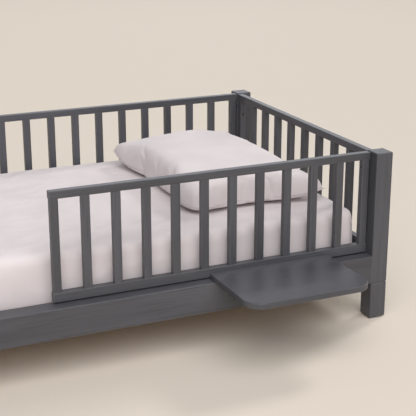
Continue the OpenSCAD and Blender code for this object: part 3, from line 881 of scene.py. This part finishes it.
def flat_bag(name, middle, size, cell, rise):
    """Two layers of cloth sewn together all round, with a little air between them."""
    fewest = 8
    squareness = 2.5            # how long the layers stay apart towards their edges
    counts = [max(fewest, round(s / cell)) for s in size]
    layers = []
    for side in (1, -1):
        bpy.ops.mesh.primitive_grid_add(
            x_subdivisions=counts[0], y_subdivisions=counts[1], size=1, location=middle,
        )
        layer = bpy.context.object
        layer.scale = (size[0], size[1], 1)
        settle(layer)
        points = points_of(layer)
        x = np.clip(np.abs(points[:, 0] - middle.x) / (size[0] / 2), 0, 1)
        y = np.clip(np.abs(points[:, 1] - middle.y) / (size[1] / 2), 0, 1)
        points[:, 2] = middle.z + side * rise * np.sqrt((1 - x ** squareness) * (1 - y ** squareness))
        set_points(layer, points)
        layers.append(layer)
    deselect_all()
    for layer in layers:
        layer.select_set(True)
    bpy.context.view_layer.objects.active = layers[0]
    bpy.ops.object.join()
    piece = named(bpy.context.object, name)
    bpy.ops.object.mode_set(mode="EDIT")
    bpy.ops.mesh.select_all(action="SELECT")
    bpy.ops.mesh.remove_doubles(threshold=cell / 20)
    bpy.ops.mesh.normals_make_consistent(inside=False)
    bpy.ops.object.mode_set(mode="OBJECT")
    return piece


def rim_order(points, middle, size, cell):
    """The indices of the points on the bag's sewn edge, in order round it."""
    edge = cell / 4             # a point this close to the edge is on it
    x = np.abs(points[:, 0] - middle.x) > size[0] / 2 - edge
    y = np.abs(points[:, 1] - middle.y) > size[1] / 2 - edge
    rim = np.nonzero(x | y)[0]
    angle = np.arctan2((points[rim, 1] - middle.y) / size[1], (points[rim, 0] - middle.x) / size[0])
    return rim[np.argsort(angle)]


def pillow_form(points, low, high, cloth):
    """Fits a blown-up bag to the pillow's place: seam low, top domed, three corners lifted."""
    middle = (low + high) / 2
    seam_level = 0.13           # height of the seam, as a share of the pillow's
    belly, dome = 0.55, 0.45    # how full the underside and the top are
    rest_gap = 0.0004
    spare = (0.010, 0.009)      # how far the sides reach past their place
    tip_start, tip_width, tip_sharpness = 0.62, 0.38, 1.5
    slack_tip, long_tip, short_tip, tip_lift = -0.030, 0.009, -0.004, 0.022
    centre = np.array([(points[:, i].min() + points[:, i].max()) / 2 for i in range(3)])
    spread = np.array([np.ptp(points[:, i]) for i in range(3)])
    room = np.array(high - low) - [0.0, 0.0, 2 * cloth]
    level = (points - centre) / (spread / 2)
    base_z = low.z + rest_gap + cloth
    below = seam_level * room[2] * (1 - np.clip(-level[:, 2], 0, 1) ** belly)
    above = seam_level * room[2] + (1 - seam_level) * room[2] * np.clip(level[:, 2], 0, 1) ** dome
    near = np.clip((np.abs(level[:, :2]) - tip_start) / tip_width, 0, 1)
    tip = (near[:, 0] * near[:, 1]) ** tip_sharpness
    slack = (level[:, 0] < 0) & (level[:, 1] < 0)
    reach = np.where(slack, slack_tip, np.where(level[:, 0] > 0, long_tip, short_tip))
    for i in (0, 1):
        points[:, i] = middle[i] + level[:, i] * (room[i] / 2 + spare[i])
        points[:, i] += np.sign(level[:, i]) * reach * tip
    points[:, 2] = base_z + np.where(level[:, 2] < 0, below, above)
    points[:, 2] += np.where(slack, 0.0, tip) * tip_lift
    return points


class BED_OT_pillow(bpy.types.Operator):
    """Makes the pillow and its case by blowing up a flat sewn bag as cloth"""
    bl_idname = "toddler_bed.pillow"
    bl_label = "Pillow and case"

    def execute(self, context):
        bedding = context.scene.bed_bedding
        low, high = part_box("pillow_case")
        middle = (low + high) / 2
        size = (bedding.case_width, bedding.case_length)
        air = 0.012             # first height of each layer of the bag
        rise = air
        bag = flat_bag("pillow_case_cloth", middle, size, bedding.case_cell, rise)
        rim = rim_order(points_of(bag), middle, size, bedding.case_cell)
        swell(bag, pressure=3.1, frames=20)
        points = pillow_form(points_of(bag), low, high, bedding.cloth)
        set_points(bag, points)
        seam_route = [tuple(points[i]) for i in rim]
        apply_modifier(bag, "SUBSURF", levels=context.scene.bed_stage.subdivisions, render_levels=1)
        filling = copy_of(bag, "pillow_filling")
        set_points(filling, points_of(filling) - normals_of(filling) * 2 * bedding.cloth)
        apply_modifier(bag, "SOLIDIFY", thickness=bedding.cloth, offset=-1.0)
        linen = woven_finish("cotton_case", bedding.linen, bedding.thread, sheen=0.18)
        seam = tube("pillow_case_seam", [seam_route], bedding.seam / 2, sides=2, closed=True)
        ticking = woven_finish("pillow_ticking", bedding.ticking, bedding.thread, sheen=0.1)
        for piece, material in ((bag, linen), (seam, linen), (filling, ticking)):
            smooth(piece)
            face_cloth_map(piece)
            piece.data.materials.clear()
            piece.data.materials.append(material)
            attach(piece, PILLOW_BODY)
        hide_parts("pillow_case")
        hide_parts("pillow")
        return {"FINISHED"}


# ---- stage ----

def area_light(name, place, aim, size, power, tint):
    """A large soft light that points at a place."""
    bpy.ops.object.light_add(type="AREA", location=place)
    lamp = bpy.context.object
    lamp.name = name
    lamp.data.shape = "DISK"
    lamp.data.size = size
    lamp.data.energy = power
    lamp.data.color = tint
    lamp.rotation_euler = (Vector(aim) - Vector(place)).to_track_quat("-Z", "Y").to_euler()


def sun_light(name, power, spread, turn):
    """A distant light, whose direction is its turn."""
    bpy.ops.object.light_add(type="SUN", location=(0, 0, 4))
    lamp = bpy.context.object
    lamp.name = name
    lamp.data.energy = power
    lamp.data.angle = spread
    lamp.data.color = LAMP_WHITE
    lamp.rotation_euler = turn


class BED_OT_stage(bpy.types.Operator):
    """Sets out the floor, the lights and the camera"""
    bl_idname = "toddler_bed.stage"
    bl_label = "Stage"

    def execute(self, context):
        stage = context.scene.bed_stage
        deselect_all()
        bpy.ops.mesh.primitive_plane_add(size=60, location=(0, 0, 0))
        floor = named(context.object, "floor")
        finish = Finish("plain_floor", stage.floor, 0.9, {GLOSS: 0.15})
        floor.data.materials.append(finish.material)
        world = bpy.data.worlds.new("room")
        context.scene.world = world
        world.use_nodes = True
        glow = world.node_tree.nodes["Background"]
        glow.inputs["Color"].default_value = (*stage.sky, 1.0)
        glow.inputs["Strength"].default_value = stage.sky_power
        bed = (0.4, 0.1, 0.4)
        area_light("back_light", (3.0, 6.0, 3.2), bed, size=5.5, power=stage.back_power,
                   tint=(0.95, 0.97, 1.0))
        context.object.visible_diffuse = False
        area_light("fill_light", (-1.5, -4.5, 2.4), bed, size=3.5, power=stage.fill_power,
                   tint=(0.97, 0.98, 1.0))
        sun_light("key_light", stage.key_power, stage.key_spread,
                  (math.pi / 2 - stage.key_height, 0, -stage.key_side))
        side_spread, side_lean, side_turn = (math.radians(angle) for angle in (12, 52, 114))
        sun_light("side_light", stage.side_power, side_spread, (side_lean, 0, side_turn))
        bpy.ops.object.camera_add(location=stage.eye)
        camera = context.object
        camera.name = "camera"
        camera.rotation_euler = (math.pi / 2 - stage.dip, 0, -stage.turn)
        camera.data.lens = stage.lens
        camera.data.sensor_width = 36.0
        context.scene.camera = camera
        context.scene.view_settings.view_transform = "Standard"
        return {"FINISHED"}


STEPS = (
    BED_OT_stage, BED_OT_painted_frame, BED_OT_slatted_base, BED_OT_hardware,
    BED_OT_mattress, BED_OT_fitted_sheet, BED_OT_pillow,
)


class BED_PT_panel(bpy.types.Panel):
    """Lists the steps that make the bed"""
    bl_idname = "BED_PT_panel"
    bl_label = "Toddler bed"
    bl_space_type = "VIEW_3D"
    bl_region_type = "UI"
    bl_category = "Toddler bed"

    def draw(self, context):
        column = self.layout.column(align=True)
        for step in STEPS:
            column.operator(step.bl_idname)
        for group in (context.scene.bed_wood, context.scene.bed_bedding, context.scene.bed_stage):
            box = self.layout.box()
            for key in group.bl_rna.properties.keys():
                if key not in ("rna_type", "name"):
                    box.prop(group, key)


CLASSES = (WoodSettings, BeddingSettings, StageSettings, *STEPS, BED_PT_panel)


def register():
    """Adds the settings, the steps and the panel."""
    for cls in CLASSES:
        bpy.utils.register_class(cls)
    bpy.types.Scene.bed_wood = PointerProperty(type=WoodSettings)
    bpy.types.Scene.bed_bedding = PointerProperty(type=BeddingSettings)
    bpy.types.Scene.bed_stage = PointerProperty(type=StageSettings)


def unregister():
    """Takes them away again."""
    del bpy.types.Scene.bed_stage
    del bpy.types.Scene.bed_bedding
    del bpy.types.Scene.bed_wood
    for cls in reversed(CLASSES):
        bpy.utils.unregister_class(cls)


def run_step(step):
    """Runs one operator by its name."""
    group, name = step.bl_idname.split(".")
    getattr(getattr(bpy.ops, group), name)()


def main():
    """Runs every step."""
    register()
    for step in STEPS:
        run_step(step)


if __name__ == "__main__":
    main()
